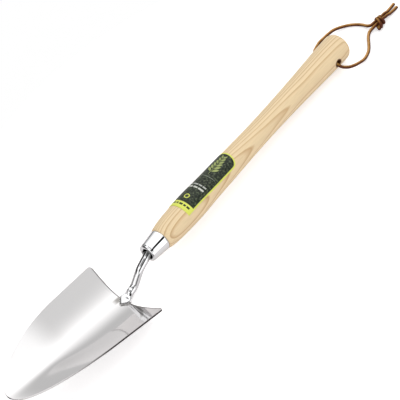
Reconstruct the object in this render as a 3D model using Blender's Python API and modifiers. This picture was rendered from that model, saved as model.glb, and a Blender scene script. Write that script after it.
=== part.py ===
"""Garden trowel: pressed steel blade, swan neck, ferrule, long ash handle and leather hanging lace.

The trowel lies as it would on a bench, open side up, on the heel of its blade and its butt.
World axes: X along the tool from the blade's tip to the lace, Y across it, Z up.
The tool's own frame, inside the resting tilt, starts at the middle of the blade's rear edge.
"""
import math

import bmesh
import bpy
from mathutils import Matrix, Vector

# Blade, in the tool's frame: its keel runs along -X from the rear edge
BLADE_LENGTH = 0.156
BLADE_HALF_WIDTH = 0.0409
BLADE_RISE = 0.0173
BLADE_RISE_GAIN = 0.12
BLADE_BEND = 0.0274
BLADE_TAPER = 0.19
BLADE_ROUND_FROM = 0.34
BLADE_ROUND_POWER = 2.47
BLADE_CORNER = 0.004
BLADE_THICKNESS = 0.0015
# Share of the blade's length where the foot is shaped to it
FOOT_PLACE = 0.05

# Handle axis: where it leaves the ferrule's mouth, and how far it rises above the keel
MOUTH_X = 0.0271
MOUTH_Z = 0.0369
HANDLE_PITCH = math.radians(14.0)

# Ferrule, measured back from the wood's shoulder: its edge there is straight for a short way
FERRULE_LENGTH = 0.0190
FERRULE_EDGE = 0.0008
FERRULE_WOOD_RADIUS = 0.0106
FERRULE_MOUTH_RADIUS = 0.0089
FERRULE_WALL = 0.001
LIP_ROLL = 0.0016
LIP_INSIDE = 0.0007

# Turned handle: distance from the wood's shoulder and radius there
HANDLE_LENGTH = 0.2814
HANDLE_PROFILE = (
    (0.0, 0.0107),
    (0.0066, 0.0121),
    (0.0154, 0.0130),
    (0.0374, 0.0138),
    (0.0494, 0.01375),
    (0.0694, 0.01295),
    (0.0984, 0.0123),
    (0.1334, 0.01145),
    (0.1614, 0.01125),
    (0.1934, 0.0117),
    (0.2184, 0.01235),
    (0.2434, 0.01325),
    (0.2654, 0.0139),
    (0.2752, 0.0139),
)
BUTT_RIM = 0.0062
SPIGOT_LENGTH = 0.0136
BORE_RADIUS = 0.0041
BORE_DEPTH = 0.062
BORE_POINT = 0.003
SPIGOT_BEVEL = 0.0006

# Hole for the lace, across the butt
HOLE_FROM_BUTT = 0.0224
HOLE_RADIUS = 0.0035
HOLE_TURN = math.radians(84.0)
HOLE_EASE = 0.0008
DRILL_REACH = 0.018

# Neck: a round bar bent like a swan's neck and beaten out into a foot
NECK_RADIUS = 0.00375
TANG_END_RADIUS = 0.0022
TANG_FULLNESS = 0.6
NECK_BENDS = (
    (0.0299, 0.0371),
    (0.0275, 0.0351),
    (0.0252, 0.0325),
    (0.0218, 0.0291),
    (0.0182, 0.0249),
    (0.0157, 0.0193),
    (0.0136, 0.0137),
    (0.0122, 0.0106),
    (0.0099, 0.0080),
    (0.0065, 0.0061),
)
# The bar begins to flatten below this height, and takes the blade's bend over this length
FLATTEN_BELOW = 0.0075
FOOT_BLEND = 0.0060
# Foot: place along the keel, half width, half thickness
FOOT_NECK = ((0.0099, 0.0037, 0.0037), (0.0065, 0.0037, 0.0034))
FOOT = (
    (0.0042, 0.0041, 0.0029),
    (0.0020, 0.0050, 0.0023),
    (0.0002, 0.0053, 0.0017),
    (-0.0018, 0.0047, 0.0013),
    (-0.0038, 0.0035, 0.0011),
    (-0.0055, 0.0021, 0.0010),
    (-0.0065, 0.0007, 0.0009),
)
BEAD_RADIUS = 0.0008

# Label round the top of the handle
LABEL_FROM_SHOULDER = 0.0302
LABEL_LENGTH = 0.0750
LABEL_WIDTH = 0.0280
LABEL_ARCH = 0.0090
LABEL_ARCH_POWER = 2.4
LABEL_TURN = math.radians(12.0)
LABEL_THICKNESS = 0.0003

# Lace: route points are (along X from the hole, across Y, height above the ground)
LACE_RADIUS = 0.00155
FRONT_ROUTE = (
    (0.0011, -0.0167, 0.0120),
    (0.0054, -0.0204, 0.0095),
    (0.0119, -0.0228, 0.0070),
    (0.0184, -0.0240, 0.0050),
    (0.0257, -0.0247, 0.0032),
    (0.0339, -0.0232, 0.0020),
    (0.0400, -0.0206, 0.0016),
    (0.0462, -0.0163, 0.0016),
    (0.0521, -0.0120, 0.0016),
    (0.0572, -0.0098, 0.0022),
)
BACK_ROUTE = (
    (0.0038, 0.0164, 0.0121),
    (0.0074, 0.0176, 0.0111),
    (0.0155, 0.0197, 0.0095),
    (0.0245, 0.0200, 0.0078),
    (0.0330, 0.0201, 0.0060),
    (0.0404, 0.0195, 0.0042),
    (0.0478, 0.0164, 0.0027),
    (0.0545, 0.0118, 0.0018),
    (0.0592, 0.0060, 0.0016),
    (0.0618, 0.0005, 0.0018),
    (0.0622, -0.0045, 0.0032),
)
# Through the hole: along X from its middle, reach toward its front mouth, drop below its axis
HOLE_ROUTE = (
    (-0.0006, 0.0144, 0.0021),
    (-0.0005, 0.0122, 0.0015),
    (-0.0001, 0.0070, 0.0006),
    (0.0, 0.0, 0.0003),
    (0.0002, -0.0070, 0.0004),
    (0.0008, -0.0122, 0.0008),
    (0.0013, -0.0145, 0.0009),
)
KNOT_CENTRE = (0.0730, -0.0106, 0.0049)
KNOT_TURN = math.radians(-7.3)
KNOT_HALF_LENGTH = 0.0072
KNOT_LEAD = 0.0024
STRAND_SPACING = 0.0034
# Each strand's turn round the knot: its place, half width, sideways shift and lean at the front
FRONT_WRAP = (-0.0037, 0.0049, -0.0020, -0.0024)
BACK_WRAP = (0.0014, 0.0038, -0.0014, -0.0004)
WRAP_UP = 0.0032
WRAP_ADVANCE = 0.0030
WRAP_START = math.radians(-20.0)
KNOT_IN = ((-0.0030, 0.9, 0.0), (0.0010, 0.8, 0.0004))
KNOT_OUT = (0.0022, 0.8, -0.0003)
RIGHT_TAIL = ((0.0868, -0.0138, 0.0032), (0.0926, -0.0140, 0.0022), (0.0982, -0.0141, 0.0017))
LEFT_TAIL = ((0.0871, -0.0103, 0.0032), (0.0938, -0.0099, 0.0022), (0.1000, -0.0095, 0.0017))

# Small gap between touching pieces, and where the ground's middle lies under the tool
GAP = 0.0003
GROUND_MIDDLE = 0.09366

# How finely the forms are divided
ROUND_STEPS = 36
CURVE_STEPS = 24
RIM_STEPS = 8
LIP_STEPS = 10
BLADE_ROWS = 30
BLADE_COLUMNS = 26
CORNER_SHARES = (0.0, 0.03, 0.12, 0.3, 0.6, 1.0)
HANDLE_STEP = 0.0075
HOLE_SIDES = 20
NECK_SIDES = 20
NECK_STEP = 0.0012
TANG_STEPS = 6
LABEL_COLUMNS = 12
LABEL_ROWS = 10
ARCH_ROWS = 8
ARCH_TIP = 0.02
LACE_STEP = 3.4 * LACE_RADIUS
KNOT_STEP = 0.0020
WRAP_STEPS = 12
CORD_ROUNDNESS = 2
WELD_DISTANCE = 0.00002
TINY = 1e-9


def clear_scene():
    """Start from an empty file."""
    for item in list(bpy.data.objects):
        bpy.data.objects.remove(item, do_unlink=True)


def new_collection(name):
    """A collection linked to the scene."""
    group = bpy.data.collections.new(name)
    bpy.context.scene.collection.children.link(group)
    return group


def new_material(name, colour, roughness, metallic=0.0):
    """A plain Principled material."""
    material = bpy.data.materials.new(name)
    material.use_nodes = True
    shader = material.node_tree.nodes["Principled BSDF"]
    shader.inputs["Base Color"].default_value = (*colour, 1.0)
    shader.inputs["Roughness"].default_value = roughness
    shader.inputs["Metallic"].default_value = metallic
    return material


def new_object(name, data, group, parent=None, material=None):
    """An object in a collection, under a parent."""
    item = bpy.data.objects.new(name, data)
    group.objects.link(item)
    item.parent = parent
    if material:
        data.materials.append(material)
    return item


def smooth(item, angle=35.0):
    """Smooth shading that keeps real corners sharp."""
    item.data.shade_smooth()
    item.data.set_sharp_from_angle(angle=math.radians(angle))


def spline(points, step):
    """Points read every step along a smooth curve through the given points."""
    knots = [Vector(p) for p in points]
    ends = [2 * knots[0] - knots[1]] + knots + [2 * knots[-1] - knots[-2]]
    fine = []
    for i in range(1, len(ends) - 2):
        before, start, end, after = ends[i - 1:i + 3]
        pairs = ((before, start), (start, end), (end, after))
        spans = [max((q - p).length, TINY) ** 0.5 for p, q in pairs]
        middle = (end - start) / spans[1]
        leave = (start - before) / spans[0] - (end - before) / (spans[0] + spans[1]) + middle
        arrive = middle - (after - start) / (spans[1] + spans[2]) + (after - end) / spans[2]
        leave *= spans[1]
        arrive *= spans[1]
        for k in range(CURVE_STEPS):
            t = k / CURVE_STEPS
            fine.append(
                (2 * t**3 - 3 * t**2 + 1) * start
                + (t**3 - 2 * t**2 + t) * leave
                + (3 * t**2 - 2 * t**3) * end
                + (t**3 - t**2) * arrive
            )
    fine.append(knots[-1])
    lengths = [0.0]
    for p, q in zip(fine, fine[1:]):
        lengths.append(lengths[-1] + (q - p).length)
    count = max(2, round(lengths[-1] / step))
    result = []
    j = 0
    for k in range(count + 1):
        target = lengths[-1] * k / count
        while j < len(fine) - 2 and lengths[j + 1] < target:
            j += 1
        share = (target - lengths[j]) / max(lengths[j + 1] - lengths[j], TINY)
        result.append(fine[j].lerp(fine[j + 1], min(share, 1.0)))
    return result


def radius_at(distance):
    """Radius of the turned handle at a distance from the wood's shoulder."""
    rows = turned_rows()
    for (a, ra), (b, rb) in zip(rows, rows[1:]):
        if a <= distance <= b:
            return ra + (rb - ra) * (distance - a) / (b - a)
    return rows[-1][1]


def turned_rows():
    """The handle's outline from shoulder to butt, before its rounded rim."""
    return [(p.x, p.y) for p in spline([(x, r, 0.0) for x, r in HANDLE_PROFILE], HANDLE_STEP)]


def rim_arc():
    """The butt's rounded rim, from the handle's side to its flat end."""
    centre_r = HANDLE_PROFILE[-1][1] - BUTT_RIM
    arc = []
    for k in range(RIM_STEPS + 1):
        angle = 0.5 * math.pi * k / RIM_STEPS
        place = HANDLE_LENGTH - BUTT_RIM * (1.0 - math.sin(angle))
        arc.append((place, centre_r + BUTT_RIM * math.cos(angle)))
    return arc


def blade_rise(place, across):
    """Height of the blade's upper face above its keel, at a share of its length."""
    bend = math.hypot(BLADE_BEND, across) - BLADE_BEND
    full = math.hypot(BLADE_BEND, BLADE_HALF_WIDTH) - BLADE_BEND
    return BLADE_RISE * (1.0 + BLADE_RISE_GAIN * place) * bend / full


def blade_half_width(place):
    """Half width of the blade at a share of its length, with rounded rear corners."""
    width = BLADE_HALF_WIDTH * (1.0 - BLADE_TAPER * place)
    if place > BLADE_ROUND_FROM:
        share = (place - BLADE_ROUND_FROM) / (1.0 - BLADE_ROUND_FROM)
        width *= math.sqrt(max(0.0, 1.0 - share**BLADE_ROUND_POWER))
    back = place * BLADE_LENGTH
    if back < BLADE_CORNER:
        width -= BLADE_CORNER - math.sqrt(BLADE_CORNER**2 - (BLADE_CORNER - back) ** 2)
    return width


def blade_places():
    """Shares of the blade's length, close together at the corners and the tip."""
    corner = [BLADE_CORNER / BLADE_LENGTH * share for share in CORNER_SHARES]
    body = []
    for k in range(1, BLADE_ROWS):
        body.append(corner[-1] + (1.0 - corner[-1]) * math.sin(0.5 * math.pi * k / BLADE_ROWS))
    return corner + body


def make_blade(group, parent):
    """Pressed sheet: a trough swept along the keel, thickened downwards."""
    shell = bmesh.new()
    rows = []
    for place in blade_places():
        row = []
        for k in range(BLADE_COLUMNS + 1):
            across = blade_half_width(place) * (2.0 * k / BLADE_COLUMNS - 1.0)
            row.append(shell.verts.new((-place * BLADE_LENGTH, across, blade_rise(place, across))))
        rows.append(row)
    for near, far in zip(rows, rows[1:]):
        for k in range(BLADE_COLUMNS):
            shell.faces.new((near[k], near[k + 1], far[k + 1], far[k]))
    tip = shell.verts.new((-BLADE_LENGTH, 0.0, 0.0))
    for k in range(BLADE_COLUMNS):
        shell.faces.new((rows[-1][k], rows[-1][k + 1], tip))
    bmesh.ops.recalc_face_normals(shell, faces=shell.faces)
    if sum(face.normal.z for face in shell.faces) < 0:
        bmesh.ops.reverse_faces(shell, faces=shell.faces)
    mesh = bpy.data.meshes.new("blade")
    shell.to_mesh(mesh)
    shell.free()
    steel = new_material("polished_steel", (0.78, 0.78, 0.80), 0.18, 1.0)
    blade = new_object("blade", mesh, group, parent, steel)
    smooth(blade)
    sheet = blade.modifiers.new("sheet", "SOLIDIFY")
    sheet.thickness = BLADE_THICKNESS
    sheet.offset = -1.0
    sheet.use_even_offset = True
    return blade


def neck_sections():
    """Stations of the neck: centre, direction of its thickness, half width and half thickness."""
    along = Vector((math.cos(HANDLE_PITCH), 0.0, math.sin(HANDLE_PITCH)))
    mouth = Vector((MOUTH_X, 0.0, MOUTH_Z))
    tang_start = mouth + along * (FERRULE_LENGTH - SPIGOT_LENGTH)
    tang_end = mouth + along * (FERRULE_LENGTH + BORE_DEPTH - SPIGOT_LENGTH - BORE_POINT)
    stations = []
    for k in range(TANG_STEPS):
        share = k / TANG_STEPS
        radius = TANG_END_RADIUS + (NECK_RADIUS - TANG_END_RADIUS) * share**TANG_FULLNESS
        stations.append((tang_end.lerp(tang_start, share), radius, radius))
    bends = [tang_start] + [Vector((x, 0.0, z)) for x, z in NECK_BENDS]
    foot_points = [Vector((x, 0.0, GAP + thick)) for x, _, thick in FOOT]
    course = spline(bends + foot_points, NECK_STEP)
    for point in course:
        wide, thick = NECK_RADIUS, NECK_RADIUS
        if point.z < FLATTEN_BELOW:
            wide, thick = foot_size(point.x)
        stations.append((point, wide, thick))
    return stations


def foot_size(x):
    """Half width and half thickness of the neck's beaten end at a place along the keel."""
    rows = FOOT_NECK + FOOT
    points = spline([(-a, b, c) for a, b, c in rows], NECK_STEP / 3)
    best = min(points, key=lambda p: abs(p.x + x))
    return best.y, best.z


def make_neck(group, parent):
    """Loft of oval sections along the swan neck, from the tang's point to the foot's tip."""
    stations = neck_sections()
    loft = bmesh.new()
    rings = []
    for i, (centre, wide, thick) in enumerate(stations):
        before = stations[max(i - 1, 0)][0]
        after = stations[min(i + 1, len(stations) - 1)][0]
        forward = (after - before).normalized()
        up = Vector((0.0, 1.0, 0.0)).cross(forward).normalized()
        ring = []
        for k in range(NECK_SIDES):
            angle = 2.0 * math.pi * k / NECK_SIDES
            across = wide * math.cos(angle)
            point = centre + Vector((0.0, across, 0.0)) + up * (thick * math.sin(angle))
            lying = min(max((NECK_BENDS[-1][0] - centre.x) / FOOT_BLEND, 0.0), 1.0)
            point.z += lying * blade_rise(FOOT_PLACE, across)
            ring.append(loft.verts.new(point))
        rings.append(ring)
    for near, far in zip(rings, rings[1:]):
        for k in range(NECK_SIDES):
            loft.faces.new((near[k], far[k], far[(k + 1) % NECK_SIDES], near[(k + 1) % NECK_SIDES]))
    loft.faces.new(rings[0])
    loft.faces.new(list(reversed(rings[-1])))
    bmesh.ops.recalc_face_normals(loft, faces=loft.faces)
    mesh = bpy.data.meshes.new("neck")
    loft.to_mesh(mesh)
    loft.free()
    steel = new_material("forged_steel", (0.72, 0.72, 0.74), 0.2, 1.0)
    neck = new_object("neck", mesh, group, parent, steel)
    smooth(neck)
    return neck


def make_tube(name, points, radius, group, material, parent=None):
    """A round bar or cord through the given points, with closed ends."""
    data = bpy.data.curves.new(name, "CURVE")
    data.dimensions = "3D"
    data.bevel_depth = radius
    data.bevel_resolution = CORD_ROUNDNESS
    data.use_fill_caps = True
    line = data.splines.new("POLY")
    line.points.add(len(points) - 1)
    for spot, point in zip(line.points, points):
        spot.co = (*point, 1.0)
    return new_object(name, data, group, parent, material)


def make_bead(group, parent):
    """Weld bead round the foot, lying on the blade."""
    clear = GAP + BEAD_RADIUS
    side = []
    for before, (x, wide, _), after in zip(FOOT, FOOT[1:], FOOT[2:]):
        along = Vector((after[0] - before[0], after[1] - before[1])).normalized()
        side.append((x + along.y * clear, wide - along.x * clear))
    tip = FOOT[-1][0] - clear - GAP
    outline = [(x, -y) for x, y in side] + [(tip, 0.0)] + list(reversed(side))
    points = [(x, y, clear + blade_rise(FOOT_PLACE, y)) for x, y in outline]
    steel = new_material("weld_steel", (0.62, 0.61, 0.60), 0.35, 1.0)
    return make_tube("weld_bead", spline(points, 2.0 * BEAD_RADIUS), BEAD_RADIUS, group, steel, parent)


def turn_profile(name, profile, group, parent, material, closed):
    """A turned piece: a profile of (distance, radius) spun round the parent's X axis."""
    outline = bmesh.new()
    verts = [outline.verts.new((x, 0.0, r)) for x, r in profile]
    for a, b in zip(verts, verts[1:]):
        outline.edges.new((a, b))
    if closed:
        outline.edges.new((verts[-1], verts[0]))
    mesh = bpy.data.meshes.new(name)
    outline.to_mesh(mesh)
    outline.free()
    item = new_object(name, mesh, group, parent, material)
    spin = item.modifiers.new("turned", "SCREW")
    spin.axis = "X"
    spin.steps = ROUND_STEPS
    spin.render_steps = ROUND_STEPS
    spin.use_merge_vertices = True
    spin.merge_threshold = WELD_DISTANCE
    spin.use_normal_calculate = True
    return item


def freeze(item):
    """Replace an object's data by its evaluated mesh, so that it can be cut."""
    graph = bpy.context.evaluated_depsgraph_get()
    mesh = bpy.data.meshes.new_from_object(item.evaluated_get(graph))
    item.modifiers.clear()
    shape = bmesh.new()
    shape.from_mesh(mesh)
    bmesh.ops.remove_doubles(shape, verts=shape.verts, dist=WELD_DISTANCE)
    bmesh.ops.recalc_face_normals(shape, faces=shape.faces)
    shape.to_mesh(mesh)
    shape.free()
    item.data = mesh


def make_ferrule(group, parent):
    """Spun sleeve with a lip rolled inwards at its mouth."""
    lip_x = -FERRULE_LENGTH + LIP_ROLL
    lip_r = FERRULE_MOUTH_RADIUS - LIP_ROLL
    profile = [(0.0, FERRULE_WOOD_RADIUS), (-FERRULE_EDGE, FERRULE_WOOD_RADIUS)]
    for k in range(LIP_STEPS + 1):
        angle = math.pi * (0.5 + k / LIP_STEPS)
        profile.append((lip_x + LIP_ROLL * math.cos(angle), lip_r + LIP_ROLL * math.sin(angle)))
    for k in range(RIM_STEPS + 1):
        angle = math.pi * (1.5 - k / RIM_STEPS)
        profile.append((lip_x + LIP_INSIDE * math.cos(angle), lip_r + LIP_INSIDE * math.sin(angle)))
    profile.append((0.0, FERRULE_WOOD_RADIUS - FERRULE_WALL))
    steel = new_material("ferrule_steel", (0.80, 0.80, 0.82), 0.12, 1.0)
    ferrule = turn_profile("ferrule", profile, group, parent, steel, closed=True)
    freeze(ferrule)
    smooth(ferrule)
    return ferrule


def drill_mesh():
    """Cutter for the lace hole: a drill that also eases both mouths."""
    surface = radius_at(HANDLE_LENGTH - HOLE_FROM_BUTT)
    eased = (surface - HOLE_EASE, HOLE_RADIUS)
    wide = (DRILL_REACH, HOLE_RADIUS + DRILL_REACH - surface + HOLE_EASE)
    rows = [(-wide[0], wide[1]), (-eased[0], eased[1]), eased, wide]
    drill = bmesh.new()
    rings = []
    for place, radius in rows:
        ring = []
        for k in range(HOLE_SIDES):
            angle = 2.0 * math.pi * k / HOLE_SIDES
            ring.append(drill.verts.new((radius * math.cos(angle), radius * math.sin(angle), place)))
        rings.append(ring)
    for near, far in zip(rings, rings[1:]):
        for k in range(HOLE_SIDES):
            drill.faces.new((near[k], near[(k + 1) % HOLE_SIDES], far[(k + 1) % HOLE_SIDES], far[k]))
    drill.faces.new(list(reversed(rings[0])))
    drill.faces.new(rings[-1])
    bmesh.ops.recalc_face_normals(drill, faces=drill.faces)
    mesh = bpy.data.meshes.new("lace_hole_cutter")
    drill.to_mesh(mesh)
    drill.free()
    return mesh


def make_handle(group, cutters, parent):
    """Turned ash handle: spigot, bored for the tang, long waist, rounded butt and lace hole."""
    lip_r = FERRULE_MOUTH_RADIUS
    slope = (FERRULE_WOOD_RADIUS - lip_r) / FERRULE_LENGTH
    inside = FERRULE_WOOD_RADIUS - FERRULE_WALL - GAP
    nose_r = inside - slope * SPIGOT_LENGTH - GAP
    bore_end = BORE_DEPTH - SPIGOT_LENGTH
    profile = [(bore_end, 0.0), (bore_end - BORE_POINT, BORE_RADIUS)]
    profile += [(-SPIGOT_LENGTH, BORE_RADIUS), (-SPIGOT_LENGTH, nose_r - SPIGOT_BEVEL)]
    profile += [(-SPIGOT_LENGTH + SPIGOT_BEVEL, nose_r), (GAP, inside)]
    rows = turned_rows()
    profile += [(max(x, GAP), r) for x, r in rows]
    profile += rim_arc()
    profile.append((HANDLE_LENGTH, 0.0))
    ash = new_material("ash_wood", (0.82, 0.66, 0.42), 0.5)
    handle = turn_profile("handle", profile, group, parent, ash, closed=False)
    freeze(handle)

    cutter = new_object("lace_hole_cutter", drill_mesh(), cutters, parent)
    cutter.location = (HANDLE_LENGTH - HOLE_FROM_BUTT, 0.0, 0.0)
    cutter.rotation_euler = (HOLE_TURN, 0.0, 0.0)
    cutter.hide_render = True
    cutter.display_type = "WIRE"
    cut = handle.modifiers.new("lace_hole", "BOOLEAN")
    cut.operation = "DIFFERENCE"
    cut.solver = "EXACT"
    cut.object = cutter
    smooth(handle)
    return handle


def label_half_angle(distance, radius):
    """Half the angle that the label covers at a distance from the wood's shoulder."""
    half = 0.5 * LABEL_WIDTH
    left = LABEL_FROM_SHOULDER + LABEL_LENGTH - distance
    if left < LABEL_ARCH:
        share = 1.0 - max(left, 0.0) / LABEL_ARCH
        half *= math.sqrt(max(TINY, 1.0 - share**LABEL_ARCH_POWER))
    return half / radius


def make_label(group, parent):
    """Thin label bent round the handle, square below and arched at its far end."""
    straight = LABEL_LENGTH - LABEL_ARCH
    distances = [LABEL_FROM_SHOULDER + straight * k / LABEL_ROWS for k in range(LABEL_ROWS + 1)]
    for k in range(1, ARCH_ROWS + 1):
        rise = math.sin(0.5 * math.pi * min(k / ARCH_ROWS, 1.0 - ARCH_TIP))
        distances.append(LABEL_FROM_SHOULDER + straight + LABEL_ARCH * rise)
    sheet = bmesh.new()
    rows = []
    for distance in distances:
        wood = radius_at(distance)
        half = label_half_angle(distance, wood)
        row = []
        for k in range(LABEL_COLUMNS + 1):
            turn = LABEL_TURN + half * (2.0 * k / LABEL_COLUMNS - 1.0)
            out = wood + 0.5 * GAP
            row.append(sheet.verts.new((distance, out * math.sin(turn), out * math.cos(turn))))
        rows.append(row)
    for near, far in zip(rows, rows[1:]):
        for k in range(LABEL_COLUMNS):
            sheet.faces.new((near[k], far[k], far[k + 1], near[k + 1]))
    bmesh.ops.recalc_face_normals(sheet, faces=sheet.faces)
    middle = sheet.faces[:][LABEL_COLUMNS * 2]
    outward = Vector((0.0, middle.calc_center_median().y, middle.calc_center_median().z))
    if middle.normal.dot(outward) < 0:
        bmesh.ops.reverse_faces(sheet, faces=sheet.faces)
    mesh = bpy.data.meshes.new("label")
    sheet.to_mesh(mesh)
    sheet.free()
    film_look = new_material("label_film", (0.07, 0.09, 0.06), 0.35)
    label = new_object("label", mesh, group, parent, film_look)
    smooth(label)
    film = label.modifiers.new("film", "SOLIDIFY")
    film.thickness = LABEL_THICKNESS
    film.offset = 1.0
    return label


def knot_frame(hole):
    """Place of the lace's knot on the ground beyond the butt."""
    centre = Vector((hole.x + KNOT_CENTRE[0], KNOT_CENTRE[1], KNOT_CENTRE[2]))
    return Matrix.Translation(centre) @ Matrix.Rotation(KNOT_TURN, 4, "Z")


def knot_strand(side):
    """One strand of the knot: in along the middle, once round both strands, and out again."""
    half = -0.5 * STRAND_SPACING * side
    place, across, shift, lean = FRONT_WRAP if side > 0 else BACK_WRAP
    path = [(-KNOT_HALF_LENGTH, half, 0.0)]
    path += [(x, half * share, z) for x, share, z in KNOT_IN]
    for k in range(WRAP_STEPS + 1):
        angle = (WRAP_START + 2.0 * math.pi * k / WRAP_STEPS) * side
        front = side * math.cos(angle)
        x = place + WRAP_ADVANCE * (0.5 - k / WRAP_STEPS) + lean * front
        path.append((x, shift - across * front, WRAP_UP * math.sin(angle)))
    path.append((KNOT_OUT[0], half * KNOT_OUT[1], KNOT_OUT[2]))
    path.append((KNOT_HALF_LENGTH, half, 0.0))
    return path


def mesh_from_curve(item, name, group):
    """A welded mesh object in the place of a curve object."""
    graph = bpy.context.evaluated_depsgraph_get()
    mesh = bpy.data.meshes.new_from_object(item.evaluated_get(graph))
    shape = bmesh.new()
    shape.from_mesh(mesh)
    bmesh.ops.remove_doubles(shape, verts=shape.verts, dist=WELD_DISTANCE)
    bmesh.ops.recalc_face_normals(shape, faces=shape.faces)
    shape.to_mesh(mesh)
    shape.free()
    place = item.matrix_world.copy()
    bpy.data.objects.remove(item, do_unlink=True)
    solid = new_object(name, mesh, group)
    solid.matrix_world = place
    return solid


def keep_outer_shell(item):
    """Press a joined body solid: drop the small hollows sealed between its strands."""
    shape = bmesh.new()
    shape.from_mesh(item.data)
    shells = []
    unseen = set(shape.verts)
    while unseen:
        shell = set()
        edge = [unseen.pop()]
        while edge:
            vert = edge.pop()
            shell.add(vert)
            for line in vert.link_edges:
                other = line.other_vert(vert)
                if other in unseen:
                    unseen.remove(other)
                    edge.append(other)
        shells.append(shell)
    shells.sort(key=lambda shell: max(v.co.x for v in shell) - min(v.co.x for v in shell))
    for shell in shells[:-1]:
        bmesh.ops.delete(shape, geom=list(shell), context="VERTS")
    shape.to_mesh(item.data)
    shape.free()


def make_knot(group, cutters, hole, material):
    """Overhand knot of both strands, pulled tight and joined to one body."""
    place = knot_frame(hole)
    solids = []
    for side, name, home in ((1, "lace_knot", group), (-1, "knot_strand_cutter", cutters)):
        points = [place @ Vector(p) for p in spline(knot_strand(side), KNOT_STEP)]
        strand = make_tube("strand", points, LACE_RADIUS, home, material)
        solids.append(mesh_from_curve(strand, name, home))
    knot, other = solids
    other.hide_render = True
    other.display_type = "WIRE"
    join = knot.modifiers.new("joined", "BOOLEAN")
    join.operation = "UNION"
    join.solver = "EXACT"
    join.use_self = True
    join.object = other
    freeze(knot)
    keep_outer_shell(knot)
    smooth(knot, 60.0)
    return knot


def resting_tilt():
    """Angle that brings the handle's underside down to the ground the heel stands on."""
    along = Vector((math.cos(HANDLE_PITCH), 0.0, math.sin(HANDLE_PITCH)))
    down = Vector((math.sin(HANDLE_PITCH), 0.0, -math.cos(HANDLE_PITCH)))
    shoulder = Vector((MOUTH_X, 0.0, MOUTH_Z)) + along * FERRULE_LENGTH
    angles = []
    for distance, radius in turned_rows() + rim_arc():
        low = shoulder + along * distance + down * radius
        angles.append(math.atan2(low.z + BLADE_THICKNESS, low.x))
    return min(angles)


clear_scene()
parts = new_collection("garden_trowel")
cutters = new_collection("cutters")

tilt = resting_tilt()
tool = new_object("tool_frame", None, parts)
tool.rotation_euler = (0.0, tilt, 0.0)
tool.location = (-GROUND_MIDDLE, 0.0, BLADE_THICKNESS * math.cos(tilt))
axis = new_object("handle_axis", None, parts, tool)
axis.rotation_euler = (0.0, -HANDLE_PITCH, 0.0)
axis.location = (
    MOUTH_X + FERRULE_LENGTH * math.cos(HANDLE_PITCH),
    0.0,
    MOUTH_Z + FERRULE_LENGTH * math.sin(HANDLE_PITCH),
)
pivot = new_object("lace_pivot", None, parts, axis)
pivot.location = (HANDLE_LENGTH - HOLE_FROM_BUTT, 0.0, 0.0)
pivot.rotation_euler = (HOLE_TURN, 0.0, 0.0)

make_blade(parts, tool)
make_neck(parts, tool)
make_bead(parts, tool)
make_ferrule(parts, axis)
make_handle(parts, cutters, axis)
make_label(parts, axis)

bpy.context.view_layer.update()
hole = pivot.matrix_world.translation
across = (pivot.matrix_world.to_3x3() @ Vector((0.0, 0.0, 1.0))).normalized()
leather = new_material("lace_leather", (0.30, 0.13, 0.05), 0.45)

knot_place = knot_frame(hole)
entry = {}
for side in (1, -1):
    beside = -0.5 * STRAND_SPACING * side
    backs = (GAP, KNOT_LEAD)
    entry[side] = [knot_place @ Vector((-KNOT_HALF_LENGTH - back, beside, 0.0)) for back in backs]
route = [entry[1][1]]
route += [Vector((hole.x + x, y, z)) for x, y, z in reversed(FRONT_ROUTE)]
route += [hole + Vector((x, 0.0, -drop)) + across * reach for x, reach, drop in HOLE_ROUTE]
route += [Vector((hole.x + x, y, z)) for x, y, z in BACK_ROUTE]
route.append(entry[-1][1])
loop_points = [entry[1][0]] + spline(route, LACE_STEP) + [entry[-1][0]]
lace_loop = make_tube("lace_loop", loop_points, LACE_RADIUS, parts, leather)

make_knot(parts, cutters, hole, leather)
for side, name, points in ((1, "lace_tail_right", RIGHT_TAIL), (-1, "lace_tail_left", LEFT_TAIL)):
    beside = -0.5 * STRAND_SPACING * side
    ons = (GAP, KNOT_LEAD)
    start, leave = [knot_place @ Vector((KNOT_HALF_LENGTH + on, beside, 0.0)) for on in ons]
    course = spline([leave] + [Vector((hole.x + x, y, z)) for x, y, z in points], LACE_STEP)
    make_tube(name, [start] + course, LACE_RADIUS, parts, leather)
print("resting tilt in degrees", math.degrees(tilt))
print("lace hole at", tuple(hole), "along", tuple(across))
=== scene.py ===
# %% [markdown]
# # A garden trowel
# The real tool is a pressed steel blade on a bent steel neck, a steel ferrule, a long turned ash handle
# with a printed label, and a leather lace through the butt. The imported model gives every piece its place
# and size. Each cell below makes one piece or one finish, so that they can be looked at one by one.

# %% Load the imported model
import math

import bmesh
import bpy
from mathutils import Matrix, Vector, noise


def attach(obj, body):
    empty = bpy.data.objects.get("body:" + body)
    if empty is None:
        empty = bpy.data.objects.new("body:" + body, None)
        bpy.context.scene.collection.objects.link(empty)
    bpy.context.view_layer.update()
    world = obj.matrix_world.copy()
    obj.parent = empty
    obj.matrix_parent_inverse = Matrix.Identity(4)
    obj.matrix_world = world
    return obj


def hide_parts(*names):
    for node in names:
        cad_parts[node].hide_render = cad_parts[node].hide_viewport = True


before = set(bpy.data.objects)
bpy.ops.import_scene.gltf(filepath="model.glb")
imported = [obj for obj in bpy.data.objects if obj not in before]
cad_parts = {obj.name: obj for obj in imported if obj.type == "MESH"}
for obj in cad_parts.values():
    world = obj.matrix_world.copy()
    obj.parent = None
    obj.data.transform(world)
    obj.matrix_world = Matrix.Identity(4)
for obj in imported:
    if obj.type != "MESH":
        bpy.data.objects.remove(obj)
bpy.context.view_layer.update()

# %% [markdown]
# ## The camera
# A long lens far away keeps the trowel nearly free of perspective. Place and turn were measured from the
# outlines of blade, neck, ferrule and handle, so they are plain numbers.

# %% Camera


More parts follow.
